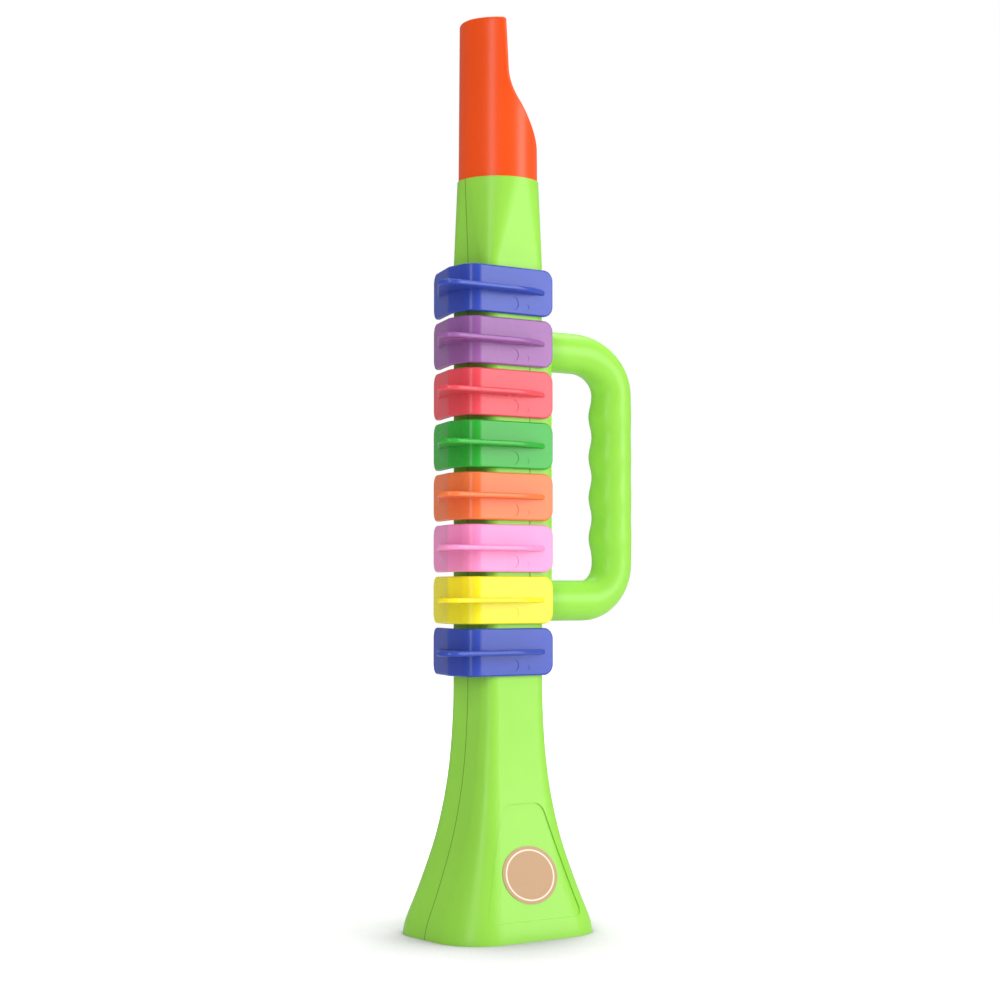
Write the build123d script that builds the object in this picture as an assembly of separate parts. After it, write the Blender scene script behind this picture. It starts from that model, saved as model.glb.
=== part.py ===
from build123d import *
import math
import os

# Toy trumpet with eight coloured keys and a D-shaped handle.
# The frame: +Z up from the bell's rim, which is the plane z = 0. The origin is on the body's axis.
# The keys are pressed along +Y, the handle is on the +Y side, and the body's halves meet at X = 0.

os.makedirs("parts", exist_ok=True)

# Body shell, a moulding in two halves
WALL = 2.0
BODY_HALF_X = 15.6
BODY_HALF_Y = 16.9
BODY_CORNER = 6.0
NECK_TOP_OF_FLARE = 112.0
STRAIGHT_TOP = 308.0
BODY_TOP = 345.8
TOP_HALF = 18.6
TOP_FLAT = 0.6
CUT_OVERRUN = 5.0

# Bell mouth
MOUTH_HALF_X = 32.0
MOUTH_HALF_Y = 40.5
MOUTH_CORNER = 20.6
# How far the section has opened from the neck's size to the mouth's, at equal steps from the rim upwards
FLARE_OPENING_SHARES = [
    1.0, 0.925, 0.785, 0.652, 0.528, 0.412, 0.315, 0.236, 0.168, 0.114, 0.074, 0.044, 0.022, 0.007, 0.0,
]

# Recessed panel on each side of the bell, and the blank round label on the near one
PANEL_DEPTH = 0.6
PANEL_LOW = 9.0
PANEL_HIGH = 60.0
PANEL_LOW_HALF = 26.5
PANEL_HIGH_HALF = 11.0
PANEL_LOW_CORNER = 3.0
PANEL_HIGH_CORNER = 6.5
LABEL_RADIUS = 12.6
LABEL_HEIGHT = 28.5
LABEL_THICKNESS = 0.3

# Keys
KEY_COUNT = 8
KEY_SPACING = 23.56
KEY_HEIGHT = 21.6
LOWEST_KEY = 128.4
KEY_TRAVEL = 4.0
KEY_WALL = 1.9
KEY_SIDE_CLEARANCE = 0.5
KEY_STAND_OFF = 9.9
KEY_OUTER_CORNER = 6.8
KEY_CHEEK_REACH = 18.6
KEY_FAR_TURN = 1.0
KEY_FAR_ANGLE = 20.0
KEY_FAR_REACH = 24.5
KEY_END_CORNER = 5.0
KEY_EDGE = 0.8
SKIN_TOLERANCE = 0.001
KEY_NAMES = ["blue_low", "yellow", "pink", "orange", "green", "red", "purple", "blue_high"]

# Finger wing round each key's corner
WING_THICKNESS = 2.3
WING_FORWARD = 17.5
WING_SIDEWAYS = 8.3
WING_TIP_RADIUS = 6.5
WING_EDGE = 0.8
WING_FAR_REACH = 17.3
MARK_RADIUS = 3.0
MARK_DEPTH = 0.25
MARK_DROP = 6.0
MARK_SET_BACK = 4.3
SMALL_MARK_RADIUS = 1.3
SMALL_MARK_DEPTH = 0.15
SMALL_MARK_DROP = 7.2
SMALL_MARK_BACK = 3.4

# Key action: stem, return spring, valve pad and guide pin
STEM_RADIUS = 2.2
VENT_RADIUS = 3.6
SPIGOT_RADIUS = 1.2
SPIGOT_HEAD_RADIUS = 2.0
SPIGOT_HEAD = 0.7
PAD_RADIUS = 6.2
PAD_THICKNESS = 2.5
SEAT_GAP = 0.05
SPRING_RADIUS = 4.6
SPRING_WIRE = 0.7
SPRING_TURNS = 3
SPRING_CENTRING_RADIUS = 3.9
SPRING_CENTRING_HEIGHT = 1.5
SPRING_SIDES = 5
SPRING_SEAT_RADIUS = 5.3
SPRING_SEAT_RISE = 2.45
PIN_RADIUS = 1.8
PIN_ENGAGEMENT = 0.9
GROOVE_DEPTH = 1.2
GROOVE_CLEARANCE = 0.2

# Sound board with its cells, and the brass reeds
BOARD_THICKNESS = 2.0
BOARD_FACE = -5.0
BOARD_FIT = 0.08
CELL_WALL = 1.6
LEDGE = 2.0
FOOT_HEIGHT = 113.0
REED_WIDTH = 5.0
REED_LENGTH = 16.0
REED_PLATE = 0.8
REED_SLOT = 2.4
REED_SLOT_LENGTH = 12.0
REED_TONGUE = 1.9
REED_TIP_GAP = 0.4
REED_OFFSET = 8.0

# Handle: a base block in a pocket of the body, and a round D-shaped bow
POCKET_FACE = 6.5
POCKET_CLEARANCE = 0.2
BLOCK_BACK = 22.5
BLOCK_BACK_CORNER = 6.0
BLOCK_CHAMFER = 0.6
HANDLE_LOW = 151.6
HANDLE_HIGH = 268.9
HANDLE_RADIUS = 9.5
GRIP_REACH = 67.5
HIGH_BEND_BACK = 24.0
HIGH_BEND_DROP = 19.0
LOW_BEND = 18.0
ROUND_SHARE = 0.5523
CREST_COUNT = 4
CREST_RISE = 0.8
CREST_RINGS = 6
CREST_START = 2.1
CREST_END = 0.2

# Self-tapping screws
SCREW_RADIUS = 1.25
SCREW_CLEARANCE = 0.05
SCREW_HEAD_RADIUS = 2.9
SCREW_HEAD = 2.0
SCREW_LENGTH = 14.0
HANDLE_SCREW_LENGTH = 9.0
BOSS_RADIUS = 4.8
COUNTERBORE_CLEARANCE = 0.3
CASE_SCREW_SEAT = -6.0
CASE_SCREW_PLACES = [(0.0, 98.0), (0.0, 322.0)]
HANDLE_SCREW_OFFSET = 8.0
HANDLE_SCREW_MARGIN = 20.0
HANDLE_BOSS_RADIUS = 3.2

# Mouthpiece: a beak that is round at its base and scooped on the handle side
BEAK_HEIGHT = 74.2
MOUTH_BASE_RADIUS = 18.3
MOUTH_TIP_RADIUS = 17.8
TIP_CHORD = -6.2
SCOOP_LIP_SHARE = 0.67654987
SCOOP_LIP_CHORD = -5.0
SCOOP_BEND_SHARE = 0.47439353
SCOOP_BEND_CHORD = 0.8
SCOOP_END_SHARE = 0.15768194
SCOOP_END_CHORD = 17.6
BEAK_EDGE = 1.6
SEAM_TURN = 270
SPIGOT_LENGTH = 12.0
SPIGOT_FIT = 0.15
CUP_HEIGHT = 8.0
AIR_BORE = 3.2
AIR_BORE_CHORD = -11.9
AIR_SLOT_HALF = 6.0
AIR_SLOT_WIDTH = 4.2
AIR_SLOT_DEPTH = 12.0

# Worked out from the sizes above
beak_top = BODY_TOP + BEAK_HEIGHT
key_middles = [LOWEST_KEY + n * KEY_SPACING for n in range(KEY_COUNT)]
cheek_inner = BODY_HALF_X + KEY_SIDE_CLEARANCE
cheek_outer = cheek_inner + KEY_WALL
front_inner = -(BODY_HALF_Y + KEY_STAND_OFF)
front_outer = front_inner - KEY_WALL
spring_seat = front_inner + SPRING_SEAT_RISE
wall_inner = -(BODY_HALF_Y - WALL)
board_front = BOARD_FACE - BOARD_THICKNESS


def box(low, high):
    """A block between two corners."""
    size = [b - a for a, b in zip(low, high)]
    return Pos(*low) * Box(*size, align=(Align.MIN, Align.MIN, Align.MIN))


def rod(radius, start, end):
    """A round bar between two points."""
    path = Vector(*end) - Vector(*start)
    plane = Plane(origin=start, z_dir=path)
    return extrude(plane * Circle(radius), path.length)


def section(half_x, half_y, corner, height, inset=0.0):
    """The body's rounded outline at a height, drawn in by an inset."""
    outline = RectangleRounded(2 * (half_x - inset), 2 * (half_y - inset), corner - inset)
    return Pos(0, 0, height) * outline


def flare_section(height_share, open_share, inset=0.0):
    """One outline of the flare between the neck and the bell's mouth."""
    half_x = BODY_HALF_X + (MOUTH_HALF_X - BODY_HALF_X) * open_share
    half_y = BODY_HALF_Y + (MOUTH_HALF_Y - BODY_HALF_Y) * open_share
    corner = BODY_CORNER + (MOUTH_CORNER - BODY_CORNER) * open_share
    return section(half_x, half_y, corner, NECK_TOP_OF_FLARE * height_share, inset)


def flare(inset=0.0):
    """The bell's solid form, drawn in by an inset."""
    steps = len(FLARE_OPENING_SHARES) - 1
    return loft([flare_section(n / steps, opening, inset) for n, opening in enumerate(FLARE_OPENING_SHARES)])


def straight(inset, low, high):
    """The straight part of the body between two heights."""
    return extrude(section(BODY_HALF_X, BODY_HALF_Y, BODY_CORNER, low, inset), high - low)


def shoulder(inset=0.0):
    """The upper body, from the rounded square to the round top."""
    low = section(BODY_HALF_X, BODY_HALF_Y, BODY_CORNER, STRAIGHT_TOP, inset)
    high = section(TOP_HALF, TOP_HALF, TOP_HALF - TOP_FLAT, BODY_TOP, inset)
    return loft([low, high])


def body_form(inset=0.0):
    """The whole body's solid form, drawn in by an inset."""
    return flare(inset) + straight(inset, NECK_TOP_OF_FLARE, STRAIGHT_TOP) + shoulder(inset)


def pocket(grow):
    """The space in the body's back that takes the handle's block, grown on all sides."""
    low = HANDLE_LOW - HANDLE_RADIUS - grow
    high = HANDLE_HIGH + HANDLE_RADIUS + grow
    wide = BODY_HALF_X + CUT_OVERRUN
    return box((-wide, POCKET_FACE - grow, low), (wide, BLOCK_BACK + CUT_OVERRUN, high))


def panel_outline():
    """The trapezoid of the bell's side panel, drawn in the YZ plane."""
    corners = [
        (-PANEL_LOW_HALF, PANEL_LOW),
        (PANEL_LOW_HALF, PANEL_LOW),
        (PANEL_HIGH_HALF, PANEL_HIGH),
        (-PANEL_HIGH_HALF, PANEL_HIGH),
    ]
    face = make_face(Polyline(*corners, close=True))
    by_height = face.vertices().sort_by(Axis.Y)
    face = fillet(by_height[:2], PANEL_LOW_CORNER)
    by_height = face.vertices().sort_by(Axis.Y)
    return Plane.YZ * fillet(by_height[-2:], PANEL_HIGH_CORNER)


def body_halves():
    """Both halves of the body, with the vents, grooves, pocket, panels and screw bosses."""
    hollow = body_form(WALL) - pocket(WALL)
    mouth = flare_section(0.0, 1.0, WALL)
    hollow = hollow + extrude(mouth, -CUT_OVERRUN)
    top = section(TOP_HALF, TOP_HALF, TOP_HALF - TOP_FLAT, BODY_TOP, WALL)
    hollow = hollow + extrude(top, CUT_OVERRUN)
    for y, z in CASE_SCREW_PLACES:
        reach = BODY_HALF_X + WALL
        hollow = hollow - rod(BOSS_RADIUS, (-reach, y, z), (reach, y, z))
    shell = body_form() - hollow - pocket(0.0)

    skin = flare() - flare(PANEL_DEPTH)
    wide = MOUTH_HALF_X + CUT_OVERRUN
    shell = shell - (skin & extrude(panel_outline(), wide, both=True))

    for z in key_middles:
        shell = shell - rod(VENT_RADIUS, (0, -BODY_HALF_Y - CUT_OVERRUN, z), (0, wall_inner + WALL, z))
        groove_low = z - MARK_DROP - PIN_RADIUS - GROOVE_CLEARANCE
        groove_high = z - MARK_DROP + PIN_RADIUS + GROOVE_CLEARANCE
        start = -MARK_SET_BACK - PIN_RADIUS - GROOVE_CLEARANCE
        end = -MARK_SET_BACK + KEY_TRAVEL + PIN_RADIUS + GROOVE_CLEARANCE
        floor = BODY_HALF_X - GROOVE_DEPTH
        shell = shell - box((floor, start, groove_low), (BODY_HALF_X + CUT_OVERRUN, end, groove_high))

    for y, z in CASE_SCREW_PLACES:
        head = SCREW_HEAD_RADIUS + COUNTERBORE_CLEARANCE
        outside = -TOP_HALF - CUT_OVERRUN
        shell = shell - rod(head, (outside, y, z), (CASE_SCREW_SEAT, y, z))
        tip = CASE_SCREW_SEAT + SCREW_LENGTH + SCREW_HEAD
        shell = shell - rod(SCREW_RADIUS + SCREW_CLEARANCE, (CASE_SCREW_SEAT, y, z), (tip, y, z))
    for x, z in handle_screw_places():
        start = POCKET_FACE - WALL - CUT_OVERRUN
        shell = shell - rod(SCREW_RADIUS + SCREW_CLEARANCE, (x, start, z), (x, POCKET_FACE + WALL, z))

    far = MOUTH_HALF_X + CUT_OVERRUN
    tall = BODY_TOP + CUT_OVERRUN
    deep = MOUTH_HALF_Y + CUT_OVERRUN
    near = shell & box((0, -deep, -CUT_OVERRUN), (far, deep, tall))
    other = shell & box((-far, -deep, -CUT_OVERRUN), (0, deep, tall))
    return near, other


def label():
    """The blank round label on the near panel."""
    skin = flare(PANEL_DEPTH - LABEL_THICKNESS) - flare(PANEL_DEPTH)
    return skin & rod(LABEL_RADIUS, (0, 0, LABEL_HEIGHT), (MOUTH_HALF_X + CUT_OVERRUN, 0, LABEL_HEIGHT))


def handle_screw_places():
    """Where the four screws go through the pocket's wall into the handle's block."""
    low = HANDLE_LOW + HANDLE_SCREW_MARGIN
    high = HANDLE_HIGH - HANDLE_SCREW_MARGIN
    return [(x, z) for x in (-HANDLE_SCREW_OFFSET, HANDLE_SCREW_OFFSET) for z in (low, high)]


def screw(seat, direction, length):
    """One self-tapping screw, from its head's seat along a direction."""
    seat = Vector(*seat)
    along = Vector(*direction)
    head = rod(SCREW_HEAD_RADIUS, seat - along * SCREW_HEAD, seat)
    return head + rod(SCREW_RADIUS, seat, seat + along * length)


def key_line(inset):
    """A line along the key's plate in plan: cheek, round corner, front leg and the far part, turned back."""
    turn = math.radians(KEY_FAR_ANGLE)
    far_end_y = front_outer + (KEY_FAR_TURN + KEY_FAR_REACH) * math.tan(turn)
    return FilletPolyline(
        (cheek_outer - inset, KEY_CHEEK_REACH),
        (cheek_outer - inset, front_outer + inset),
        (KEY_FAR_TURN + inset * math.tan(turn / 2), front_outer + inset),
        (-KEY_FAR_REACH + inset * math.sin(turn), far_end_y + inset * math.cos(turn)),
        radius=KEY_OUTER_CORNER - inset,
    )


def key_outline():
    """The key's bent plate in plan."""
    outer = key_line(0.0)
    inner = key_line(KEY_WALL)
    ends = [Line(outer @ 0, inner @ 0), Line(outer @ 1, inner @ 1)]
    return make_face(outer.edges() + inner.edges() + ends)


def key_core():
    """The area in plan that the middle of the key's plate bends round."""
    middle = key_line(KEY_WALL / 2)
    return make_face(middle.edges() + [Line(middle @ 1, middle @ 0)])


def wing_outline():
    """The finger wing in plan: it grows from both ends of the key to a round tip off the corner."""
    tip_x = cheek_outer + WING_SIDEWAYS - WING_TIP_RADIUS
    tip_y = front_outer - WING_FORWARD + WING_TIP_RADIUS
    turn = math.radians(KEY_FAR_ANGLE)
    front_end = (-WING_FAR_REACH, front_outer + (KEY_FAR_TURN + WING_FAR_REACH) * math.tan(turn))
    cheek_end = (cheek_outer, KEY_CHEEK_REACH - KEY_END_CORNER)
    hull_front = _tangent_point((tip_x, tip_y), WING_TIP_RADIUS, front_end, -1)
    hull_side = (tip_x + WING_TIP_RADIUS, tip_y)
    side_mid = (cheek_outer + WING_SIDEWAYS, -BODY_HALF_Y / 2)
    edges = [
        Line(front_end, hull_front),
        ThreePointArc(hull_front, _arc_middle((tip_x, tip_y), WING_TIP_RADIUS, hull_front, hull_side), hull_side),
        Line(hull_side, side_mid),
        TangentArc(side_mid, cheek_end, tangent=(0, 1)),
        Line(cheek_end, front_end),
    ]
    return make_face(edges) - key_core()


def _tangent_point(centre, radius, point, side):
    """Where a line from a point touches a circle."""
    dx = point[0] - centre[0]
    dy = point[1] - centre[1]
    distance = math.hypot(dx, dy)
    turn = math.atan2(dy, dx) + side * -math.acos(radius / distance)
    return (centre[0] + radius * math.cos(turn), centre[1] + radius * math.sin(turn))


def _arc_middle(centre, radius, start, end):
    """The middle point of the shorter arc between two points of a circle."""
    middle_x = (start[0] + end[0]) / 2 - centre[0]
    middle_y = (start[1] + end[1]) / 2 - centre[1]
    length = math.hypot(middle_x, middle_y)
    return (centre[0] + radius * middle_x / length, centre[1] + radius * middle_y / length)


def key_plate():
    """The key's bent plate with its round ends and the soft rim of its outer side."""
    plate = extrude(key_outline(), KEY_HEIGHT / 2, both=True)
    ends = plate.edges().filter_by(Axis.X).group_by(Axis.Y)[-1]
    plate = fillet(ends, KEY_END_CORNER)
    ends = plate.edges().filter_by(lambda edge: edge.center().X < KEY_WALL - KEY_FAR_REACH)
    ends = ends.filter_by(lambda edge: abs(edge.center().Z) > KEY_HEIGHT / 4)
    plate = fillet(ends, KEY_END_CORNER)
    skin = key_line(0.0)

    def on_rim(edge):
        places = [edge.position_at(share) for share in (0.0, 0.25, 0.5, 0.75, 1.0)]
        off_skin = max(skin.distance_to(Vector(place.X, place.Y, 0)) for place in places)
        upright = abs(places[0].Z - places[-1].Z) > KEY_HEIGHT / 2
        return off_skin < SKIN_TOLERANCE and not upright

    return fillet(plate.edges().filter_by(on_rim), KEY_EDGE)


def cheek_mark(radius, depth, y, drop):
    """The round space of a mark in the key's cheek."""
    return rod(radius, (cheek_outer - depth, y, -drop), (cheek_outer + CUT_OVERRUN, y, -drop))


def key():
    """One key about its middle height, with its wing, stem, spigot, spring seat and guide pin."""
    wing = extrude(wing_outline(), WING_THICKNESS / 2, both=True)
    rim = wing.edges().filter_by(lambda edge: abs(edge.center().Z) > WING_THICKNESS / 2 - SEAT_GAP)
    rim = rim.filter_by(lambda edge: edge.center().X > cheek_outer or edge.center().Y < front_outer)
    body = key_plate() + fillet(rim, WING_EDGE)
    spigot_end = wall_inner + SEAT_GAP + PAD_THICKNESS + SPIGOT_HEAD + SEAT_GAP
    seat = rod(SPRING_SEAT_RADIUS, (0, front_outer, 0), (0, spring_seat, 0))
    body = body + (seat & extrude(key_core(), SPRING_SEAT_RADIUS, both=True))
    body = body + rod(STEM_RADIUS, (0, front_inner, 0), (0, wall_inner, 0))
    body = body + rod(SPRING_CENTRING_RADIUS, (0, front_inner, 0), (0, spring_seat + SPRING_CENTRING_HEIGHT, 0))
    body = body + rod(SPIGOT_RADIUS, (0, wall_inner, 0), (0, spigot_end, 0))
    body = body + rod(SPIGOT_HEAD_RADIUS, (0, spigot_end - SPIGOT_HEAD, 0), (0, spigot_end, 0))
    pin_tip = BODY_HALF_X - PIN_ENGAGEMENT
    body = body + rod(PIN_RADIUS, (cheek_inner, -MARK_SET_BACK, -MARK_DROP), (pin_tip, -MARK_SET_BACK, -MARK_DROP))
    body = body - cheek_mark(MARK_RADIUS, MARK_DEPTH, -MARK_SET_BACK, MARK_DROP)
    return body - cheek_mark(SMALL_MARK_RADIUS, SMALL_MARK_DEPTH, SMALL_MARK_BACK, SMALL_MARK_DROP)


def pad():
    """The rubber valve pad behind the vent."""
    start = wall_inner + SEAT_GAP
    disc = rod(PAD_RADIUS, (0, start, 0), (0, start + PAD_THICKNESS, 0))
    bore = SPIGOT_RADIUS + SEAT_GAP
    return disc - rod(bore, (0, start - CUT_OVERRUN, 0), (0, start + PAD_THICKNESS + CUT_OVERRUN, 0))


def coil_point(turn, start, rise):
    """A point of the spring's centre line and the line's direction there."""
    angle = 2 * math.pi * turn
    place = Vector(SPRING_RADIUS * math.cos(angle), start + rise * turn, SPRING_RADIUS * math.sin(angle))
    around = 2 * math.pi * SPRING_RADIUS
    heading = Vector(-around * math.sin(angle), rise, around * math.cos(angle))
    return place, heading.normalized()


def biarc(first, second):
    """Two arcs that join two points and keep the line's direction at both."""
    p0, t0 = first
    p1, t1 = second
    span = p1 - p0
    both = t0 + t1
    gap = 2 * (1 - t0.dot(t1))
    reach = (-span.dot(both) + math.sqrt(span.dot(both) ** 2 + gap * span.dot(span))) / gap
    q0 = p0 + t0 * reach
    q1 = p1 - t1 * reach
    joint = (q0 + q1) / 2
    return [TangentArc(p0, joint, tangent=t0), TangentArc(joint, p1, tangent=q1 - q0)]


def spring():
    """The key's return spring: one unbroken wire wound on arcs, with its ends flat to their seats."""
    start = spring_seat + SPRING_WIRE / 2 + SEAT_GAP
    end = -BODY_HALF_Y - SPRING_WIRE / 2 - SEAT_GAP
    rise = (end - start) / SPRING_TURNS
    steps = 2 * SPRING_TURNS
    stations = [coil_point(n / 2, start, rise) for n in range(steps + 1)]
    arcs = []
    for first, second in zip(stations, stations[1:]):
        arcs = arcs + biarc(first, second)
    path = Wire(arcs)
    place, heading = stations[0]
    wire = Plane(origin=place, z_dir=heading) * RegularPolygon(SPRING_WIRE / 2, SPRING_SIDES)
    print("spring: least gap between turns", round(rise - SPRING_WIRE, 2), "mm")
    return sweep(wire, path=path)


def sound_board():
    """The board that divides the body: a wall with a cell for each key, a top ledge and a foot."""
    inset = WALL + BOARD_FIT
    low = FOOT_HEIGHT
    high = STRAIGHT_TOP
    wide = BODY_HALF_X
    wall = box((-wide, board_front, low), (wide, BOARD_FACE, high))
    foot = box((-wide, BOARD_FACE, low), (wide, BODY_HALF_Y, low + LEDGE))
    top = box((-wide, -BODY_HALF_Y, high - LEDGE), (wide, board_front, high))
    board = wall + foot + top
    for n in range(KEY_COUNT):
        middle = LOWEST_KEY - KEY_SPACING / 2 + n * KEY_SPACING
        board = board + box((-wide, -BODY_HALF_Y, middle - CELL_WALL / 2), (wide, board_front, middle + CELL_WALL / 2))
    board = board & straight(inset, low, high)
    for z in key_middles:
        half = REED_SLOT / 2
        tall = REED_SLOT_LENGTH / 2
        slot_low = (REED_OFFSET - half, board_front - CUT_OVERRUN, z - tall)
        slot_high = (REED_OFFSET + half, BOARD_FACE + CUT_OVERRUN, z + tall)
        board = board - box(slot_low, slot_high)
    return board


def reed(z):
    """One brass reed: a plate with a slot and the tongue that swings in it."""
    front = board_front - REED_PLATE
    half = REED_WIDTH / 2
    tall = REED_LENGTH / 2
    plate = box((REED_OFFSET - half, front, z - tall), (REED_OFFSET + half, board_front, z + tall))
    slot_half = REED_SLOT / 2
    slot_tall = REED_SLOT_LENGTH / 2
    slot_low = (REED_OFFSET - slot_half, front - CUT_OVERRUN, z - slot_tall)
    slot_high = (REED_OFFSET + slot_half, board_front + CUT_OVERRUN, z + slot_tall)
    tongue_half = REED_TONGUE / 2
    tongue_low = (REED_OFFSET - tongue_half, front, z - slot_tall)
    tongue_high = (REED_OFFSET + tongue_half, board_front - REED_PLATE / 2, z + slot_tall - REED_TIP_GAP)
    return plate - box(slot_low, slot_high) + box(tongue_low, tongue_high)


def handle():
    """The handle: a hollow base block and a round bow with four finger crests on its inner side."""
    low = HANDLE_LOW - HANDLE_RADIUS + POCKET_CLEARANCE
    high = HANDLE_HIGH + HANDLE_RADIUS - POCKET_CLEARANCE
    face = POCKET_FACE + POCKET_CLEARANCE
    block = box((-BODY_HALF_X, face, low), (BODY_HALF_X, BLOCK_BACK, high))
    upright = block.edges().filter_by(Axis.Z)
    block = fillet(upright.group_by(Axis.Y)[-1], BLOCK_BACK_CORNER)
    upright = block.edges().filter_by(Axis.Z)
    block = chamfer(upright.group_by(Axis.Y)[0], BLOCK_CHAMFER)
    inner_half = BODY_HALF_X - WALL
    cavity = box((-inner_half, face - CUT_OVERRUN, low + WALL), (inner_half, BLOCK_BACK - WALL, high - WALL))
    for x, z in handle_screw_places():
        cavity = cavity - rod(HANDLE_BOSS_RADIUS, (x, face - CUT_OVERRUN, z), (x, BLOCK_BACK, z))
    block = block - cavity
    for x, z in handle_screw_places():
        hole_end = POCKET_FACE - WALL + HANDLE_SCREW_LENGTH + SCREW_HEAD
        block = block - rod(SCREW_RADIUS + SCREW_CLEARANCE, (x, face - WALL, z), (x, hole_end, z))
    return block + bow()


def bow():
    """The round D-shaped bow of the handle."""
    root = BLOCK_BACK - WALL / 2
    grip_high = HANDLE_HIGH - HIGH_BEND_DROP
    grip_low = HANDLE_LOW + LOW_BEND
    crest_top = grip_high - CREST_END
    crest_bottom = grip_low + CREST_START
    crest_pitch = (crest_top - crest_bottom) / CREST_COUNT
    bend_start = GRIP_REACH - HIGH_BEND_BACK
    high_path = Wire([
        Line((0, root, HANDLE_HIGH), (0, bend_start, HANDLE_HIGH)),
        Bezier(
            (0, bend_start, HANDLE_HIGH),
            (0, bend_start + HIGH_BEND_BACK * ROUND_SHARE, HANDLE_HIGH),
            (0, GRIP_REACH, grip_high + HIGH_BEND_DROP * ROUND_SHARE),
            (0, GRIP_REACH, grip_high),
        ),
        Line((0, GRIP_REACH, grip_high), (0, GRIP_REACH, crest_top)),
    ])
    low_path = Wire([
        Line((0, root, HANDLE_LOW), (0, GRIP_REACH - LOW_BEND, HANDLE_LOW)),
        TangentArc((0, GRIP_REACH - LOW_BEND, HANDLE_LOW), (0, GRIP_REACH, grip_low), tangent=(0, 1, 0)),
        Line((0, GRIP_REACH, grip_low), (0, GRIP_REACH, crest_bottom)),
    ])
    high_arm = sweep(Plane(origin=(0, root, HANDLE_HIGH), z_dir=(0, 1, 0)) * Circle(HANDLE_RADIUS), path=high_path)
    low_arm = sweep(Plane(origin=(0, root, HANDLE_LOW), z_dir=(0, 1, 0)) * Circle(HANDLE_RADIUS), path=low_path)
    rings = []
    for n in range(CREST_RINGS * CREST_COUNT + 1):
        rise = CREST_RISE * (1 - math.cos(2 * math.pi * n / CREST_RINGS)) / 2
        height = crest_bottom + n * crest_pitch / CREST_RINGS
        rings.append(Pos(0, GRIP_REACH - rise, height) * Circle(HANDLE_RADIUS + rise))
    return high_arm + loft(rings) + low_arm


def mouthpiece():
    """The orange beak with its scooped side, air slot and the spigot that plugs into the body."""
    beak = Cone(MOUTH_BASE_RADIUS, MOUTH_TIP_RADIUS, BEAK_HEIGHT, align=(Align.CENTER, Align.CENTER, Align.MIN))
    beak = Pos(0, 0, BODY_TOP) * Rot(0, 0, SEAM_TURN) * beak
    outside = MOUTH_BASE_RADIUS + CUT_OVERRUN
    above = beak_top + CUT_OVERRUN
    scoop_lip = BODY_TOP + BEAK_HEIGHT * SCOOP_LIP_SHARE
    scoop_bend = BODY_TOP + BEAK_HEIGHT * SCOOP_BEND_SHARE
    scoop_end = BODY_TOP + BEAK_HEIGHT * SCOOP_END_SHARE
    lip = (SCOOP_LIP_CHORD, scoop_lip)
    bend = (SCOOP_BEND_CHORD, scoop_bend)
    fall = (scoop_bend - scoop_end) / (SCOOP_END_CHORD - SCOOP_BEND_CHORD)
    foot = (outside, scoop_bend - fall * (outside - SCOOP_BEND_CHORD))
    edges = [
        Line((TIP_CHORD, above), lip),
        TangentArc(lip, bend, tangent=(SCOOP_LIP_CHORD - TIP_CHORD, scoop_lip - above)),
        Line(bend, foot),
        Line(foot, (outside, above)),
        Line((outside, above), (TIP_CHORD, above)),
    ]
    beak = beak - extrude(Plane.YZ * make_face(edges), outside, both=True)
    tip_edges = beak.edges().filter_by(lambda edge: edge.center().Z > beak_top - BEAK_EDGE)
    side_edges = beak.edges().filter_by(lambda edge: edge.geom_type != GeomType.LINE)
    side_edges = side_edges.filter_by(lambda edge: edge.center().Z > BODY_TOP + BEAK_EDGE)
    beak = fillet(set(tip_edges + side_edges), BEAK_EDGE)
    socket_taper = (TOP_HALF - BODY_HALF_X) / (BODY_TOP - STRAIGHT_TOP)
    wide = TOP_HALF - WALL - SPIGOT_FIT
    narrow = wide - socket_taper * SPIGOT_LENGTH
    spigot = Cone(narrow, wide, SPIGOT_LENGTH, align=(Align.CENTER, Align.CENTER, Align.MAX))
    spigot = Pos(0, 0, BODY_TOP) * spigot
    cup = rod(narrow - WALL, (0, 0, BODY_TOP - SPIGOT_LENGTH - WALL), (0, 0, BODY_TOP + CUP_HEIGHT))
    bore = rod(AIR_BORE, (0, AIR_BORE_CHORD, BODY_TOP), (0, AIR_BORE_CHORD, above))
    half_width = AIR_SLOT_WIDTH / 2
    slot = box(
        (-AIR_SLOT_HALF, AIR_BORE_CHORD - half_width, beak_top - AIR_SLOT_DEPTH),
        (AIR_SLOT_HALF, AIR_BORE_CHORD + half_width, above),
    )
    slot = fillet(slot.edges().filter_by(Axis.Z), half_width - SEAT_GAP)
    return beak + spigot - cup - bore - slot


def write(name, shape):
    """Save one piece as a STEP file of its own."""
    shape.label = name
    export_step(shape, "parts/" + name + ".step")


def main():
    near, other = body_halves()
    write("body_near_half", near)
    write("body_far_half", other)
    write("bell_label", label())
    write("mouthpiece", mouthpiece())
    write("handle", handle())
    write("sound_board", sound_board())
    write("reeds", Compound([reed(z) for z in key_middles]))
    case_screws = [screw((CASE_SCREW_SEAT, y, z), (1, 0, 0), SCREW_LENGTH) for y, z in CASE_SCREW_PLACES]
    write("case_screws", Compound(case_screws))
    inside = POCKET_FACE - WALL
    handle_screws = [screw((x, inside, z), (0, 1, 0), HANDLE_SCREW_LENGTH) for x, z in handle_screw_places()]
    write("handle_screws", Compound(handle_screws))
    key_shape = key()
    pad_shape = pad()
    spring_shape = spring()
    for name, z in zip(KEY_NAMES, key_middles):
        write("key_" + name, Pos(0, 0, z) * key_shape)
        write("pad_" + name, Pos(0, 0, z) * pad_shape)
        write("spring_" + name, Pos(0, 0, z) * spring_shape)


main()
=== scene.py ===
import math

import bmesh
import bpy
from mathutils import Matrix, Vector
from mathutils.bvhtree import BVHTree


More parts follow.
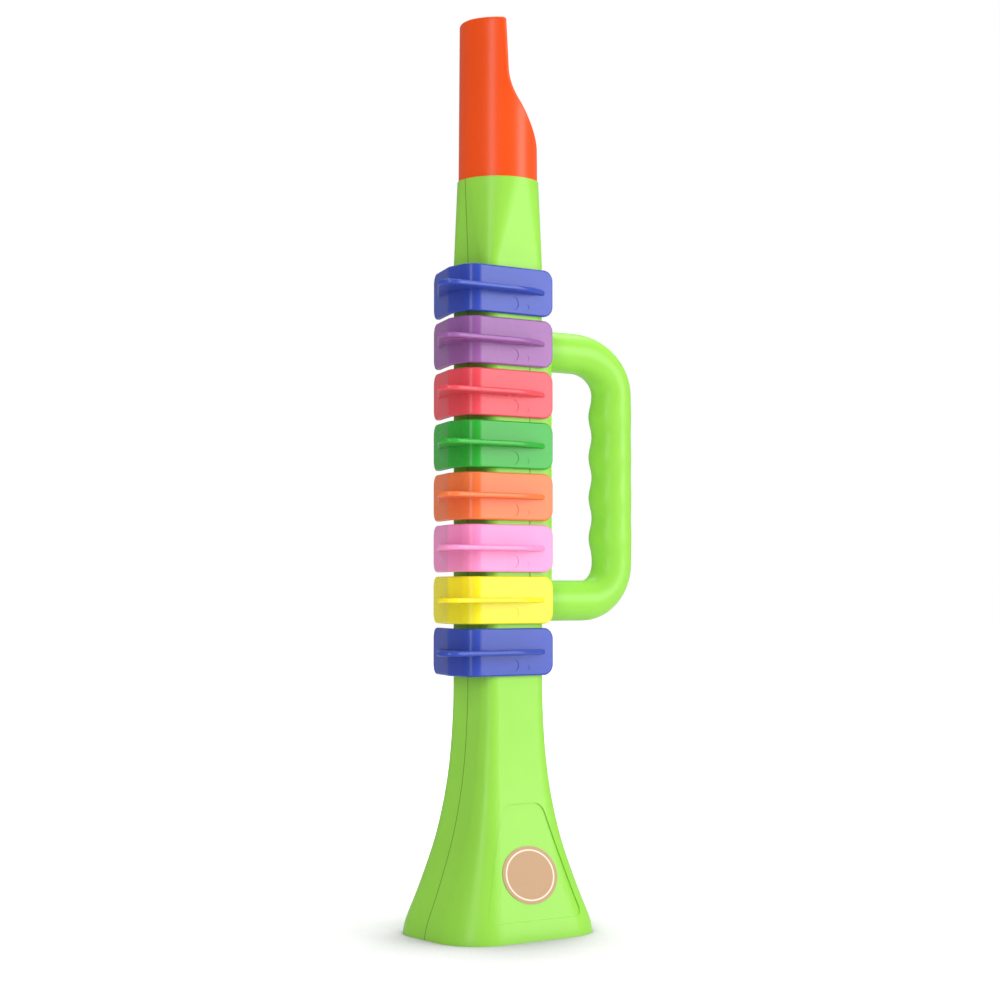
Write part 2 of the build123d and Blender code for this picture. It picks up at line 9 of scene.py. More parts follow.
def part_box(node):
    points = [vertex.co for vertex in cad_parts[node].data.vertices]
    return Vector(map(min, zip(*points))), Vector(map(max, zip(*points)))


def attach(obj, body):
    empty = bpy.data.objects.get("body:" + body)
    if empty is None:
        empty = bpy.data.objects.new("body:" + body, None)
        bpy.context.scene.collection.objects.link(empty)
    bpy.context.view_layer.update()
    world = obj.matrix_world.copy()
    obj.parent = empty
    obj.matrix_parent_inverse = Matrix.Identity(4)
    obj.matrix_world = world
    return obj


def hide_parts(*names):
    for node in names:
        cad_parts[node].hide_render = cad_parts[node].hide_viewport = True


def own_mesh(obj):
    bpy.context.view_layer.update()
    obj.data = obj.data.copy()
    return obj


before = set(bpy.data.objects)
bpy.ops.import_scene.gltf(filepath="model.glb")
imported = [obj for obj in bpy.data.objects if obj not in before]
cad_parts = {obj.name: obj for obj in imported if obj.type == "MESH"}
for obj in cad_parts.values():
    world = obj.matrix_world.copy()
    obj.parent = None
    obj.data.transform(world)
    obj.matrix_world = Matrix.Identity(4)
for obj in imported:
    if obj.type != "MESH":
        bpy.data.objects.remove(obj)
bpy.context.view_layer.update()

bl_info = {
    "name": "Toy Trumpet",
    "version": (1, 0, 0),
    "blender": (4, 5, 0),
    "location": "View3D > Sidebar > Trumpet",
    "description": "Dresses a moulded toy trumpet with eight sprung keys, and sets up its studio",
    "category": "Object",
}

MM = 0.001
BODY = "trumpet_body"
KEY_NAMES = ["blue_low", "yellow", "pink", "orange", "green", "red", "purple", "blue_high"]

# Camera and studio: places and sizes in metres, power in watts, lens shift as a share of the sensor
SENSOR_MM = 36.0
LENS_SHIFT = 0.0022
LAMP_AIM = Vector((0.0, 0.0, 0.2))
# Each lamp's name, place, width and height, and power
LAMPS = (
    ("near_softbox", (1.25, 0.95, 0.5), (0.7, 1.0), 17.0),
    ("front_strip", (0.9, -1.2, 0.45), (0.32, 1.5), 13.0),
    ("top_back", (-0.35, 0.45, 1.7), (1.2, 1.2), 25.0),
)
FOOT_SHADE_REACH = 0.12
FOOT_SHADE_POWER = 3.0
GLOW_START = 0.12
GLOW_END = 0.9
GLOW_AT_FOOT = 0.45

# Mouldings
FLOW_LENGTH = 30 * MM
SHEEN_SPREAD = 0.03
# Widths of the painted shade along the seam where the halves meet
SEAM_SHADE_CORE = 0.15 * MM
SEAM_SHADE_EDGE = 0.3 * MM

# Label: each inset is a share of half its width across, and of half its height up and down
LABEL_WIDENING = 1.2
LABEL_PROUD = 0.25 * MM
LABEL_INSETS = 6
LABEL_INSET_SHARE = 0.15
PRINT_RING_RADIUS = 10.9 * MM
PRINT_RING_CORE = 0.25 * MM
PRINT_RING_EDGE = 0.4 * MM
PAPER_FIBRE = 0.7 * MM

# Springs, pads and screws
WIRE_SIDES = 10
STEPS_PER_TURN = 24
ROUND_STEPS = 32
PAD_HOLE = 1.25 * MM
RUBBER_DUST = 0.8 * MM
HEAD_HEIGHT = 2.0 * MM
SCREW_TIP = 2.0 * MM
RECESS_HALF_WIDTH = 0.32 * MM
RECESS_ARM = 1.45 * MM
RECESS_DEPTH = 0.9 * MM
HEAD_TOP_WITHIN = 0.01 * MM


def key_middle(name):
    """The height of a key's middle, from its packed plate."""
    low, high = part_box("key_" + name)
    return (low[2] + high[2]) / 2


def linear(code):
    """An sRGB hex colour as linear red, green, blue and alpha."""
    shares = [int(code[i:i + 2], 16) / 255 for i in (0, 2, 4)]
    return tuple(c / 12.92 if c <= 0.04045 else ((c + 0.055) / 1.055) ** 2.4 for c in shares) + (1.0,)


def add(tree, kind, inputs=None, **settings):
    """Adds a node, sets it and links or fills its sockets."""
    node = tree.nodes.new(kind)
    for name, value in settings.items():
        setattr(node, name, value)
    for name, value in (inputs or {}).items():
        if isinstance(value, bpy.types.NodeSocket):
            tree.links.new(value, node.inputs[name])
        else:
            node.inputs[name].default_value = value
    return node


def new_tree(name):
    """An empty material and its node tree."""
    material = bpy.data.materials.new(name)
    material.use_nodes = True
    material.node_tree.nodes.clear()
    return material, material.node_tree


def surface(tree, shader):
    """Sends a shader to the material's output."""
    add(tree, "ShaderNodeOutputMaterial", {"Surface": shader})


def shade(colour, share):
    """A linear colour made darker or lighter."""
    return tuple(min(1.0, c * share) for c in colour[:3]) + (1.0,)


def moulded_plastic(name, colour, roughness=0.34, grain_mm=0.9, grain_depth_mm=0.012):
    """Glossy injection-moulded polypropylene or ABS."""
    # The eye sees an even dye, a soft sheen, slow clouds where the melt flowed,
    # and a faint waviness of the skin. The skin's grain is drawn coarser than the real 0.1 mm.
    material, tree = new_tree(name)
    place = add(tree, "ShaderNodeTexCoord").outputs["Object"]
    flow = add(tree, "ShaderNodeTexNoise", {"Vector": place, "Scale": 1 / FLOW_LENGTH, "Detail": 2.0})
    dye = add(tree, "ShaderNodeMix", {
        0: flow.outputs["Fac"], 6: shade(colour, 0.94), 7: shade(colour, 1.05)}, data_type="RGBA")
    grain = add(tree, "ShaderNodeTexNoise", {
        "Vector": place, "Scale": 1 / (grain_mm * MM), "Detail": 1.0})
    sheen = add(tree, "ShaderNodeMapRange", {
        "Value": flow.outputs["Fac"],
        "To Min": roughness - SHEEN_SPREAD, "To Max": roughness + SHEEN_SPREAD})
    skin = add(tree, "ShaderNodeBump",
               {"Height": grain.outputs["Fac"], "Distance": grain_depth_mm * MM, "Strength": 1.0})
    shader = add(tree, "ShaderNodeBsdfPrincipled", {
        "Base Color": dye.outputs[2], "Roughness": sheen.outputs["Result"], "IOR": 1.49,
        "Normal": skin.outputs["Normal"], "Specular IOR Level": 0.25,
    })
    surface(tree, shader.outputs["BSDF"])
    return material


def plastic_with_painted_seam_shade(name, colour, roughness):
    """Moulded plastic of the two halves, with a fine dark line of painted shade where they meet at X =
    0.
    """
    # The eye sees one thin dark line down the front and the back, where the halves meet; the line is
    # painted shade of the seam, darkened into the colour.
    material = moulded_plastic(name, colour, roughness)
    tree = material.node_tree
    shader = next(node for node in tree.nodes if node.type == "BSDF_PRINCIPLED")
    dye = shader.inputs["Base Color"].links[0].from_socket
    place = add(tree, "ShaderNodeTexCoord").outputs["Object"]
    across = add(tree, "ShaderNodeSeparateXYZ", {"Vector": place}).outputs["X"]
    across = add(tree, "ShaderNodeMath", {0: across}, operation="ABSOLUTE")
    line = add(tree, "ShaderNodeMapRange", {
        "Value": across.outputs[0], "From Min": SEAM_SHADE_CORE, "From Max": SEAM_SHADE_EDGE,
        "To Min": 0.75, "To Max": 0.0})
    # Painted shade: the colour darkens to a thin dark line along the seam at X = 0.
    painted_seam_shade = add(tree, "ShaderNodeMix", {
        0: line.outputs["Result"], 6: dye, 7: shade(colour, 0.12)}, data_type="RGBA")
    tree.links.new(painted_seam_shade.outputs[2], shader.inputs["Base Color"])
    return material


def coated_paper(name, colour, ring_colour, centre_z):
    """An oval label of coated paper: plain matt print with a pale ring inside its rim."""
    # The eye sees a flat tan print with fine paper fibre, and a thin pale line that follows the rim.
    # X is left out and Y is drawn in by the label's widening, so the distance from its middle is oval.
    material, tree = new_tree(name)
    place = add(tree, "ShaderNodeTexCoord").outputs["Object"]
    centred = add(tree, "ShaderNodeMapping", {
        "Vector": place, "Location": (0.0, 0.0, -centre_z), "Scale": (0.0, 1 / LABEL_WIDENING, 1.0)})
    reach = add(tree, "ShaderNodeVectorMath", {0: centred.outputs["Vector"]}, operation="LENGTH")
    off_ring = add(tree, "ShaderNodeMath", {
        0: reach.outputs["Value"], 1: PRINT_RING_RADIUS}, operation="SUBTRACT")
    off_ring = add(tree, "ShaderNodeMath", {0: off_ring.outputs[0]}, operation="ABSOLUTE")
    ring = add(tree, "ShaderNodeMapRange", {
        "Value": off_ring.outputs[0], "From Min": PRINT_RING_CORE, "From Max": PRINT_RING_EDGE,
        "To Min": 1.0, "To Max": 0.0})
    fibre = add(tree, "ShaderNodeTexNoise", {"Vector": place, "Scale": 1 / PAPER_FIBRE, "Detail": 3.0})
    paper = add(tree, "ShaderNodeMix", {
        0: fibre.outputs["Fac"], 6: shade(colour, 0.93), 7: shade(colour, 1.05)}, data_type="RGBA")
    print_colour = add(tree, "ShaderNodeMix", {
        0: ring.outputs["Result"], 6: paper.outputs[2], 7: ring_colour}, data_type="RGBA")
    skin = add(tree, "ShaderNodeBump", {
        "Height": fibre.outputs["Fac"], "Distance": 0.02 * MM, "Strength": 0.6})
    shader = add(tree, "ShaderNodeBsdfPrincipled", {
        "Base Color": print_colour.outputs[2], "Roughness": 0.5, "IOR": 1.5,
        "Normal": skin.outputs["Normal"]})
    surface(tree, shader.outputs["BSDF"])
    return material


def metal(name, colour, roughness, streak_mm):
    """Cold-drawn or rolled metal, with streaks along the way it was worked."""
    # The eye sees a bright metal whose highlights break up into fine streaks.
    material, tree = new_tree(name)
    place = add(tree, "ShaderNodeTexCoord").outputs["Object"]
    along = add(tree, "ShaderNodeMapping", {"Vector": place, "Scale": (1.0, 1.0, 0.15)})
    streak = add(tree, "ShaderNodeTexNoise",
                 {"Vector": along.outputs["Vector"], "Scale": 1 / (streak_mm * MM), "Detail": 2.0})
    rough = add(tree, "ShaderNodeMapRange", {
        "Value": streak.outputs["Fac"], "To Min": roughness * 0.75, "To Max": roughness * 1.25})
    shader = add(tree, "ShaderNodeBsdfPrincipled", {
        "Base Color": colour, "Metallic": 1.0, "Roughness": rough.outputs["Result"]})
    surface(tree, shader.outputs["BSDF"])
    return material


def silicone_rubber(name, colour):
    """Moulded silicone rubber for the valve pads."""
    # The eye sees a dull soft grey with dust-fine mottling and hardly any highlight.
    material, tree = new_tree(name)
    place = add(tree, "ShaderNodeTexCoord").outputs["Object"]
    dust = add(tree, "ShaderNodeTexNoise", {"Vector": place, "Scale": 1 / RUBBER_DUST, "Detail": 3.0})
    tone = add(tree, "ShaderNodeMix", {
        0: dust.outputs["Fac"], 6: shade(colour, 0.9), 7: shade(colour, 1.12)}, data_type="RGBA")
    shader = add(tree, "ShaderNodeBsdfPrincipled",
                 {"Base Color": tone.outputs[2], "Roughness": 0.65, "IOR": 1.41})
    surface(tree, shader.outputs["BSDF"])
    return material


def studio_floor(name, colour):
    """Seamless white paper that keeps the object's soft shadow, with painted shadow added round the
    foot.
    """
    # The eye sees white paper that greys softly towards the foot. Painted shadow darkens the paper's
    # colour there and dims the glow there, and a glow that only the camera sees whitens it further out.
    material, tree = new_tree(name)
    seen = add(tree, "ShaderNodeLightPath").outputs["Is Camera Ray"]
    # Painted shadow: the occlusion term darkens the paper's colour round the foot.
    painted_foot_shade = add(tree, "ShaderNodeAmbientOcclusion", {
        "Color": colour, "Distance": FOOT_SHADE_REACH}, samples=8)
    painted_shade_share = add(tree, "ShaderNodeMath", {
        0: painted_foot_shade.outputs["AO"], 1: FOOT_SHADE_POWER}, operation="POWER")
    place = add(tree, "ShaderNodeTexCoord").outputs["Object"]
    reach = add(tree, "ShaderNodeVectorMath", {0: place}, operation="LENGTH")
    fade = add(tree, "ShaderNodeMapRange", {
        "Value": reach.outputs["Value"], "From Min": GLOW_START, "From Max": GLOW_END,
        "To Min": GLOW_AT_FOOT, "To Max": 1.0})
    glow = add(tree, "ShaderNodeMath", {0: seen, 1: fade.outputs["Result"]}, operation="MULTIPLY")
    # Painted shade: the glow is dimmed round the foot as well.
    glow = add(tree, "ShaderNodeMath", {
        0: glow.outputs[0], 1: painted_shade_share.outputs[0]}, operation="MULTIPLY")
    # The paper's colour carries the painted shadow round the foot.
    paper = add(tree, "ShaderNodeBsdfDiffuse", {"Color": painted_foot_shade.outputs["Color"]})
    lift = add(tree, "ShaderNodeEmission", {"Color": (1.0, 1.0, 1.0, 1.0), "Strength": glow.outputs[0]})
    both = add(tree, "ShaderNodeAddShader", {0: paper.outputs[0], 1: lift.outputs[0]})
    surface(tree, both.outputs[0])
    return material


def finish_node(node, material):
    """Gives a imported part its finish."""
    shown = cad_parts[node]
    for entry in shown.material_slots:
        entry.material = material


def piece_from(bm, name, material, nodes, body=BODY):
    """Makes a finished piece from a bmesh, hides the parts it stands for and hangs it on what it rides
    on.
    """
    bmesh.ops.recalc_face_normals(bm, faces=bm.faces)
    mesh = bpy.data.meshes.new(name)
    bm.to_mesh(mesh)
    bm.free()
    mesh.materials.append(material)
    for face in mesh.polygons:
        face.use_smooth = True
    piece = bpy.data.objects.new(name, mesh)
    bpy.context.scene.collection.objects.link(piece)
    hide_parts(*nodes)
    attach(piece, body)
    return piece


def spun_ring(bm, profile, centre, axis, outward, steps):
    """Spins a closed profile of (radius, along) points about an axis, as one closed ring."""
    along = Vector(axis)
    out = Vector(outward)
    start = Vector(centre)
    verts = [bm.verts.new(start + out * radius + along * length) for radius, length in profile]
    edges = [bm.edges.new(pair) for pair in zip(verts, verts[1:] + verts[:1])]
    bmesh.ops.spin(
        bm, geom=verts + edges, cent=centre, axis=axis, angle=2 * math.pi, steps=steps, use_merge=True)


class TrumpetSizes(bpy.types.PropertyGroup):
    """Sizes of the small pieces that are dressed here."""
    spring_radius: bpy.props.FloatProperty(
        name="Spring radius", description="Mean radius of a key's return spring",
        default=4.6 * MM, unit="LENGTH", precision=4)
    spring_wire: bpy.props.FloatProperty(
        name="Spring wire", description="Thickness of the spring's wire",
        default=0.7 * MM, unit="LENGTH", precision=4)
    spring_turns: bpy.props.IntProperty(
        name="Spring turns", description="How often the wire goes round", default=3, min=1)
    screw_head: bpy.props.FloatProperty(
        name="Screw head", description="Radius of a pan head",
        default=2.9 * MM, unit="LENGTH", precision=4)
    screw_shank: bpy.props.FloatProperty(
        name="Screw shank", description="Radius of a screw's shank",
        default=1.25 * MM, unit="LENGTH", precision=4)


def colour_property(name, description, code):
    """A colour that a user can change."""
    return bpy.props.FloatVectorProperty(
        name=name, description=description, subtype="COLOR", size=4, min=0.0, max=1.0,
        default=linear(code))


class TrumpetColours(bpy.types.PropertyGroup):
    """Colours of the mouldings and fittings."""
    body: colour_property("Body", "Lime green of the body, bell and handle", "97DB4B")
    mouthpiece: colour_property("Mouthpiece", "Orange of the beak", "F35216")
    key_blue: colour_property("Blue keys", "Blue of the highest and lowest key", "384FB4")
    key_purple: colour_property("Purple key", "Purple of the second key from the top", "9A61A4")
    key_red: colour_property("Red key", "Red of the third key from the top", "EE505D")
    key_green: colour_property("Green key", "Green of the fourth key from the top", "30AF38")
    key_orange: colour_property("Orange key", "Orange of the fifth key from the top", "F77C42")
    key_pink: colour_property("Pink key", "Pink of the sixth key from the top", "F997CE")
    key_yellow: colour_property("Yellow key", "Yellow of the seventh key from the top", "FBED26")
    label: colour_property("Label", "Tan of the plain label", "BE946C")
    label_ring: colour_property("Label ring", "Pale line inside the label's rim", "F2E2C8")
    board: colour_property("Board", "White of the sound board", "ECEBE4")
    brass: colour_property("Brass", "Brass of the reeds", "D2AC5A")
    steel: colour_property("Steel", "Steel of springs and screws", "C9CBCE")
    rubber: colour_property("Rubber", "Grey of the valve pads", "4A4B4E")


class TrumpetStudio(bpy.types.PropertyGroup):
    """The camera's place and the studio's lights."""
    distance: bpy.props.FloatProperty(
        name="Distance", description="From the camera to the trumpet's axis",
        default=0.975, unit="LENGTH")
    eye_height: bpy.props.FloatProperty(
        name="Eye height", description="Height of the camera above the floor",
        default=0.15625, unit="LENGTH")
    azimuth: bpy.props.FloatProperty(
        name="Azimuth", description="Turn of the camera from the keys' side",
        default=math.radians(54), subtype="ANGLE")
    lens_mm: bpy.props.FloatProperty(
        name="Lens", description="Focal length for a 36 mm sensor",
        default=75.92, subtype="DISTANCE_CAMERA")
    tilt: bpy.props.FloatProperty(
        name="Tilt", description="How far the camera looks up", default=0.043, subtype="ANGLE")
    ambient: bpy.props.FloatProperty(
        name="Ambient", description="Strength of the white surroundings", default=0.3)
    floor_half: bpy.props.FloatProperty(
        name="Floor half width", description="Half the width of the floor", default=6.0, unit="LENGTH")


class TRUMPET_OT_stage(bpy.types.Operator):
    """White studio: paper floor, three soft lamps, white surroundings and the camera"""
    bl_idname = "trumpet.stage"
    bl_label = "Studio"

    def execute(self, context):
        studio = context.scene.trumpet_studio
        towards = Vector((math.sin(studio.azimuth), -math.cos(studio.azimuth), 0.0))
        lens = bpy.data.cameras.new("camera")
        lens.lens = studio.lens_mm
        lens.sensor_width = SENSOR_MM
        lens.shift_x = LENS_SHIFT
        camera = bpy.data.objects.new("camera", lens)
        camera.location = towards * studio.distance + Vector((0.0, 0.0, studio.eye_height))
        camera.rotation_euler = (math.pi / 2 + studio.tilt, 0.0, studio.azimuth)
        context.scene.collection.objects.link(camera)
        context.scene.camera = camera
        context.scene.view_settings.view_transform = "Standard"

        bm = bmesh.new()
        bmesh.ops.create_grid(bm, x_segments=1, y_segments=1, size=studio.floor_half)
        mesh = bpy.data.meshes.new("floor")
        bm.to_mesh(mesh)
        bm.free()
        mesh.materials.append(studio_floor("studio_paper", linear("DADADA")))
        floor = bpy.data.objects.new("floor", mesh)
        context.scene.collection.objects.link(floor)

        for name, place, size, power in LAMPS:
            self.lamp(context, name, place, size, power)
        self.surroundings(context, studio.ambient)
        return {"FINISHED"}

    def lamp(self, context, name, place, size, power):
        """One soft area lamp that faces the trumpet at LAMP_AIM."""
        data = bpy.data.lights.new(name, "AREA")
        data.shape = "RECTANGLE"
        data.size, data.size_y = size
        data.energy = power
        lamp = bpy.data.objects.new(name, data)
        aim = LAMP_AIM - Vector(place)
        turn = aim.to_track_quat("-Z", "Y").to_matrix().to_4x4()
        lamp.matrix_world = Matrix.Translation(place) @ turn
        context.scene.collection.objects.link(lamp)

    def surroundings(self, context, ambient):
        """White all round: full white to the eye, dimmer as light on the object."""
        world = bpy.data.worlds.new("white_studio")
        world.use_nodes = True
        context.scene.world = world
        tree = world.node_tree
        tree.nodes.clear()
        seen = add(tree, "ShaderNodeLightPath").outputs["Is Camera Ray"]
        level = add(tree, "ShaderNodeMapRange", {"Value": seen, "To Min": ambient, "To Max": 1.0})
        sky = add(tree, "ShaderNodeBackground",
                  {"Color": (1.0, 1.0, 1.0, 1.0), "Strength": level.outputs["Result"]})
        add(tree, "ShaderNodeOutputWorld", {"Surface": sky.outputs[0]})


class TRUMPET_OT_body(bpy.types.Operator):
    """Green mouldings: both body halves and the handle"""
    bl_idname = "trumpet.body"
    bl_label = "Body and handle"

    def execute(self, context):
        colour = tuple(context.scene.trumpet_colours.body)
        finish_node("handle", moulded_plastic("lime_polypropylene", colour, 0.36))
        # The halves' colour carries painted shade along their seam.
        halves = plastic_with_painted_seam_shade("seamed_polypropylene", colour, 0.36)
        for node in ("body_near_half", "body_far_half"):
            finish_node(node, halves)
        return {"FINISHED"}


class TRUMPET_OT_mouthpiece(bpy.types.Operator):
    """Orange beak"""
    bl_idname = "trumpet.mouthpiece"
    bl_label = "Mouthpiece"

    def execute(self, context):
        finish_node("mouthpiece", moulded_plastic(
            "orange_abs", tuple(context.scene.trumpet_colours.mouthpiece), 0.33))
        return {"FINISHED"}


class TRUMPET_OT_keys(bpy.types.Operator):
    """Eight glossy keys in their own colours"""
    bl_idname = "trumpet.keys"
    bl_label = "Keys"

    def execute(self, context):
        colours = context.scene.trumpet_colours
        made = {}
        for name in KEY_NAMES:
            shade_name = "key_" + name.split("_")[0]
            if shade_name not in made:
                colour = tuple(getattr(colours, shade_name))
                made[shade_name] = moulded_plastic(shade_name + "_abs", colour, 0.27)
            finish_node("key_" + name, made[shade_name])
        return {"FINISHED"}


class TRUMPET_OT_label(bpy.types.Operator):
    """Plain label on the bell's near panel, a little wider than high"""
    bl_idname = "trumpet.label"
    bl_label = "Label"

    def execute(self, context):
        colours = context.scene.trumpet_colours
        low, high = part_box("bell_label")
        centre = Vector((0.0, (low[1] + high[1]) / 2, (low[2] + high[2]) / 2))
        half_high = (high[2] - low[2]) / 2
        half_wide = half_high * LABEL_WIDENING
        paper = coated_paper(
            "coated_paper", tuple(colours.label), tuple(colours.label_ring), centre.z)
        bm = bmesh.new()
        bmesh.ops.create_circle(bm, cap_ends=True, segments=64, radius=1.0)
        for _ in range(LABEL_INSETS):
            inner = max(bm.faces, key=lambda face: len(face.verts))
            bmesh.ops.inset_region(bm, faces=[inner], thickness=LABEL_INSET_SHARE)
        shell = self.skin_tree()
        outside = high[0] * 3
        for vert in bm.verts:
            across = centre.y + vert.co.x * half_wide
            start = Vector((outside, across, centre.z + vert.co.y * half_high))
            hit = shell.ray_cast(start, Vector((-1.0, 0.0, 0.0)))
            vert.co = hit[0] + hit[1] * LABEL_PROUD
        piece_from(bm, "oval_label", paper, ["bell_label"])
        return {"FINISHED"}

    def skin_tree(self):
        """A search tree of the near half's packed surface."""
        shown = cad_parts["body_near_half"]
        faces = [tuple(face.vertices) for face in shown.data.polygons]
        points = [shown.matrix_world @ vert.co for vert in shown.data.vertices]
        return BVHTree.FromPolygons(points, faces)


class TRUMPET_OT_sound(bpy.types.Operator):
    """Sound board and brass reeds"""
    bl_idname = "trumpet.sound"
    bl_label = "Sound board and reeds"

    def execute(self, context):
        colours = context.scene.trumpet_colours
        finish_node("sound_board", moulded_plastic("white_polystyrene", tuple(colours.board), 0.42))
        finish_node("reeds", metal("rolled_brass", tuple(colours.brass), 0.3, 0.6))
        return {"FINISHED"}


class TRUMPET_OT_springs(bpy.types.Operator):
    """Eight wound return springs"""
    bl_idname = "trumpet.springs"
    bl_label = "Return springs"

    def execute(self, context):
        sizes = context.scene.trumpet_sizes
        steel = metal("drawn_spring_steel", tuple(context.scene.trumpet_colours.steel), 0.25, 0.5)
        for name in KEY_NAMES:
            low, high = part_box("spring_" + name)
            middle = key_middle(name)
            start = low[1] + sizes.spring_wire / 2
            rise = (high[1] - low[1] - sizes.spring_wire) / sizes.spring_turns
            steps = STEPS_PER_TURN * sizes.spring_turns
            bm = bmesh.new()
            ring = bmesh.ops.create_circle(
                bm, cap_ends=False, segments=WIRE_SIDES, radius=sizes.spring_wire / 2,
                matrix=Matrix.Translation((sizes.spring_radius, start, middle)))
            edges = list({edge for vert in ring["verts"] for edge in vert.link_edges})
            bmesh.ops.spin(
                bm, geom=ring["verts"] + edges, cent=(0.0, start, middle), axis=(0.0, -1.0, 0.0),
                dvec=(0.0, rise * sizes.spring_turns / steps, 0.0),
                angle=2 * math.pi * sizes.spring_turns, steps=steps)
            bmesh.ops.holes_fill(bm, edges=[edge for edge in bm.edges if edge.is_boundary])
            spring = piece_from(bm, "return_spring_" + name, steel, ["spring_" + name])
            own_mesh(spring)
        return {"FINISHED"}


class TRUMPET_OT_pads(bpy.types.Operator):
    """Eight silicone valve pads with rounded rims"""
    bl_idname = "trumpet.pads"
    bl_label = "Valve pads"

    def execute(self, context):
        rubber = silicone_rubber("silicone_rubber", tuple(context.scene.trumpet_colours.rubber))
        for name in KEY_NAMES:
            low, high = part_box("pad_" + name)
            middle = key_middle(name)
            radius = (high[0] - low[0]) / 2
            thick = high[1] - low[1]
            profile = [
                (PAD_HOLE, 0.0), (radius * 0.9, 0.0), (radius * 0.97, thick * 0.08),
                (radius, thick * 0.25), (radius, thick * 0.7), (radius * 0.96, thick * 0.9),
                (radius * 0.88, thick), (PAD_HOLE, thick),
            ]
            bm = bmesh.new()
            spun_ring(
                bm, profile, (0.0, low[1], middle), (0.0, 1.0, 0.0), (1.0, 0.0, 0.0), ROUND_STEPS)
            piece_from(bm, "valve_pad_" + name, rubber, ["pad_" + name], "key_" + name)
        return {"FINISHED"}


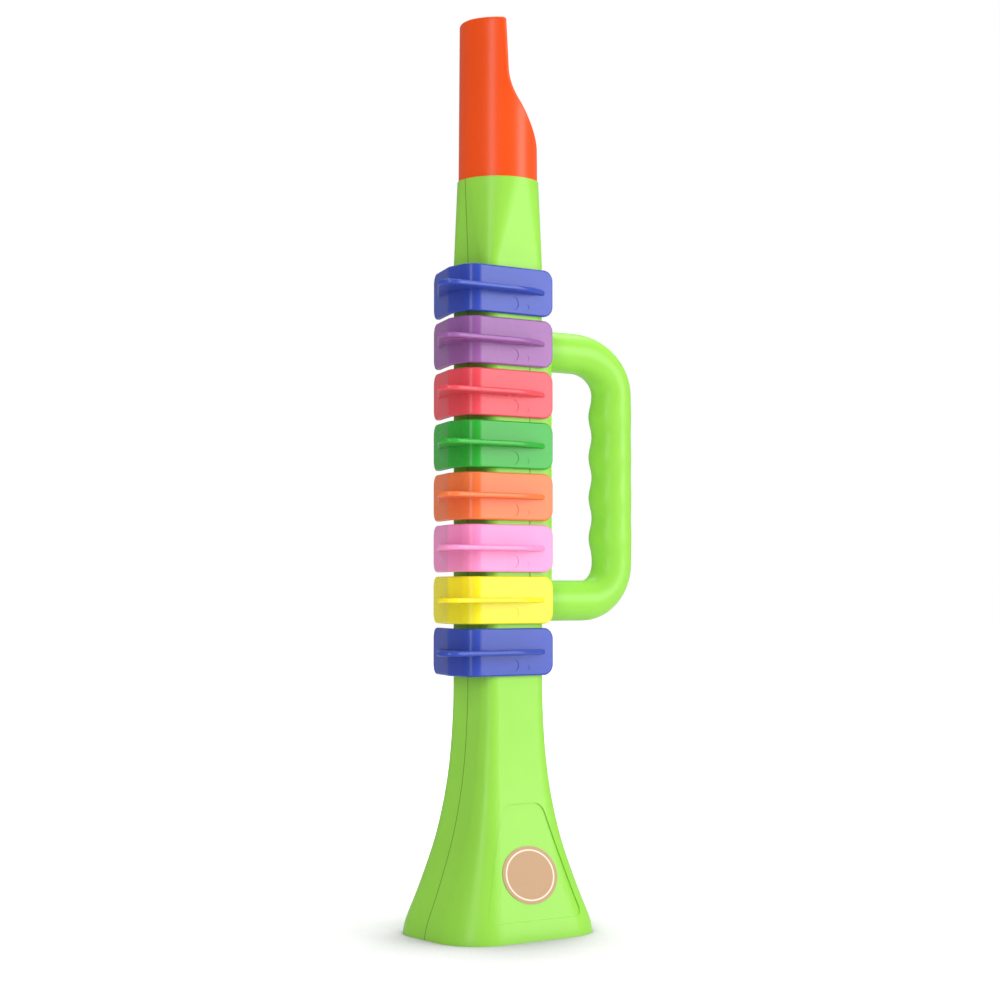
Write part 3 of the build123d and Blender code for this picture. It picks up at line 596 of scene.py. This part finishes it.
class TRUMPET_OT_screws(bpy.types.Operator):
    """Pan-head screws with cross recesses: two in the case and four in the handle"""
    bl_idname = "trumpet.screws"
    bl_label = "Screws"

    def execute(self, context):
        sizes = context.scene.trumpet_sizes
        steel = metal("plated_steel", tuple(context.scene.trumpet_colours.steel), 0.22, 0.4)
        low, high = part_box("case_screws")
        seats = [(low[0], 0.0, z) for z in (low[2] + sizes.screw_head, high[2] - sizes.screw_head)]
        turn = Matrix.Rotation(math.pi / 2, 3, "Y")
        self.screws(sizes, "case_screws_cross", "case_screws", seats, turn, high[0] - low[0], steel)
        low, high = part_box("handle_screws")
        seats = [(x, low[1], z) for x in (low[0] + sizes.screw_head, high[0] - sizes.screw_head)
                 for z in (low[2] + sizes.screw_head, high[2] - sizes.screw_head)]
        turn = Matrix.Rotation(-math.pi / 2, 3, "X")
        self.screws(sizes, "handle_screws_cross", "handle_screws", seats, turn, high[1] - low[1], steel)
        return {"FINISHED"}

    def screws(self, sizes, name, node, seats, turn, length, steel):
        """Several like screws as one piece, each made along +Z from the top of its head and turned."""
        bm = bmesh.new()
        for seat in seats:
            one = bmesh.new()
            self.one_screw(one, sizes.screw_head, sizes.screw_shank, length)
            bmesh.ops.transform(one, matrix=Matrix.Translation(seat) @ turn.to_4x4(), verts=one.verts)
            part = bpy.data.meshes.new("one_screw")
            one.to_mesh(part)
            one.free()
            bm.from_mesh(part)
            bpy.data.meshes.remove(part)
        piece_from(bm, name, steel, [node])

    def one_screw(self, bm, head, shank, length):
        """A round head with a cross recess, and its shank with a pointed end."""
        thick = HEAD_HEIGHT
        outline = [
            (head * 0.72, 0.0), (head * 0.9, thick * 0.14), (head, thick * 0.45), (head, thick),
            (shank, thick), (shank, length - SCREW_TIP), (shank * 0.25, length),
        ]
        verts = [bm.verts.new((radius, 0.0, along)) for radius, along in outline]
        edges = [bm.edges.new(pair) for pair in zip(verts, verts[1:])]
        bmesh.ops.spin(
            bm, geom=verts + edges, cent=(0, 0, 0), axis=(0, 0, 1), angle=2 * math.pi, steps=ROUND_STEPS,
            use_merge=True)
        bmesh.ops.holes_fill(bm, edges=[edge for edge in bm.edges if edge.is_boundary])
        for axis in ((1, 0, 0), (0, 1, 0)):
            for offset in (-RECESS_ARM, -RECESS_HALF_WIDTH, RECESS_HALF_WIDTH, RECESS_ARM):
                point = Vector(axis) * offset
                flat = [face for face in bm.faces if self.on_head_top(face)]
                geom = flat + list({edge for face in flat for edge in face.edges})
                geom += list({vert for face in flat for vert in face.verts})
                bmesh.ops.bisect_plane(bm, geom=geom, plane_co=point, plane_no=axis)
        cross = []
        for face in bm.faces:
            middle = face.calc_center_median()
            near, far = sorted((abs(middle.x), abs(middle.y)))
            if self.on_head_top(face) and near < RECESS_HALF_WIDTH and far < RECESS_ARM:
                cross.append(face)
        sunk = bmesh.ops.extrude_face_region(bm, geom=cross)
        moved = [item for item in sunk["geom"] if isinstance(item, bmesh.types.BMVert)]
        bmesh.ops.translate(bm, vec=(0.0, 0.0, RECESS_DEPTH), verts=moved)
        bmesh.ops.delete(bm, geom=cross, context="FACES")

    def on_head_top(self, face):
        """Whether a face lies in the flat top of a screw's head."""
        return abs(face.calc_center_median().z) < HEAD_TOP_WITHIN and abs(face.normal.z) > 0.9


class TRUMPET_PT_panel(bpy.types.Panel):
    """Lists the trumpet's steps in the sidebar"""
    bl_idname = "TRUMPET_PT_panel"
    bl_label = "Toy trumpet"
    bl_space_type = "VIEW_3D"
    bl_region_type = "UI"
    bl_category = "Trumpet"

    def draw(self, context):
        for step in STEPS:
            self.layout.operator(step.bl_idname)
        for settings in GROUPS:
            group = getattr(context.scene, settings)
            box = self.layout.box()
            for name in group.__annotations__:
                box.prop(group, name)


STEPS = (
    TRUMPET_OT_stage, TRUMPET_OT_body, TRUMPET_OT_mouthpiece, TRUMPET_OT_keys, TRUMPET_OT_label,
    TRUMPET_OT_sound, TRUMPET_OT_springs, TRUMPET_OT_pads, TRUMPET_OT_screws,
)
GROUPS = {
    "trumpet_sizes": TrumpetSizes,
    "trumpet_colours": TrumpetColours,
    "trumpet_studio": TrumpetStudio,
}


def register():
    """Makes the steps, the panel and the settings known."""
    for name, group in GROUPS.items():
        bpy.utils.register_class(group)
        setattr(bpy.types.Scene, name, bpy.props.PointerProperty(type=group))
    for step in STEPS:
        bpy.utils.register_class(step)
    bpy.utils.register_class(TRUMPET_PT_panel)


def unregister():
    """Takes the steps, the panel and the settings away again."""
    bpy.utils.unregister_class(TRUMPET_PT_panel)
    for step in reversed(STEPS):
        bpy.utils.unregister_class(step)
    for name, group in GROUPS.items():
        delattr(bpy.types.Scene, name)
        bpy.utils.unregister_class(group)


def main():
    """Builds everything in order."""
    register()
    for step in STEPS:
        area, name = step.bl_idname.split(".")
        getattr(getattr(bpy.ops, area), name)()


if __name__ == "__main__":
    main()
